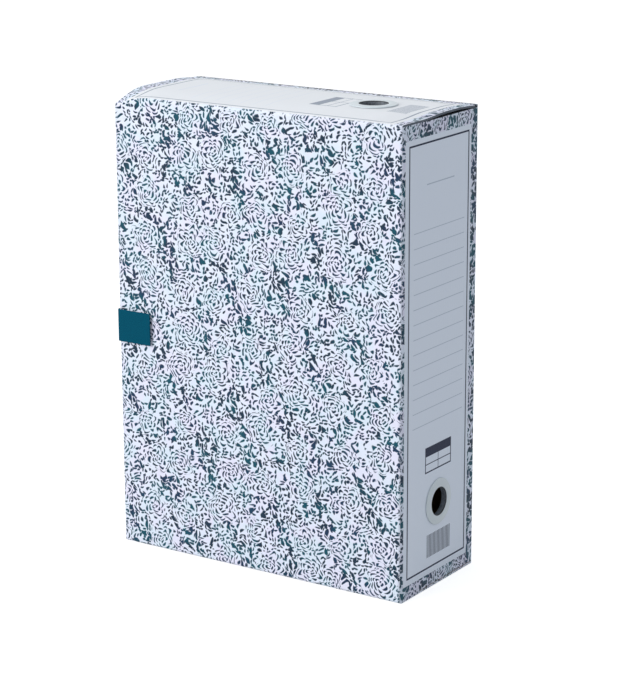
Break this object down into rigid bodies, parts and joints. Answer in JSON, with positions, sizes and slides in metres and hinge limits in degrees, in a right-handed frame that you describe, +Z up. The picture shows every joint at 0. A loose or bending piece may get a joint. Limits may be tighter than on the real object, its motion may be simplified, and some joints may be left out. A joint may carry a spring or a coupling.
{
  "type": "box file",
  "caption": "Upright archive box of folded printed board with a closing flap on the fore edge, a tape closure, and finger rings in spine and top.",
  "frame": {"origin": "bottom centre of the box's bounding box, on the surface it stands on", "axes": "+X towards the spine, -X towards the fore edge with the closing flap, -Y out of the front face, +Z up"},
  "size_m": [0.2522, 0.1076, 0.3533],
  "materials": {
    "printed_board": "satin printed micro-flute board",
    "teal_tape": "woven hook-and-loop tape",
    "ring_plastic": "moulded, satin"
  },
  "bodies": {
    "box": {"box_body": "printed_board", "loop_pad": "teal_tape", "spine_finger_ring": "ring_plastic", "spine_ring_washer": "ring_plastic", "top_finger_ring": "ring_plastic", "top_ring_washer": "ring_plastic"},
    "flap": {"closing_flap": "printed_board", "closure_strap": "teal_tape", "hook_pad": "teal_tape"}
  },
  "joints": [
    {"name": "flap_fold", "type": "hinge", "parent": "box", "child": "flap", "pos_m": [-0.12439, 0.05304, 0.175], "axis": [0, 0, -1], "range_deg": [0, 165]}
  ]
}
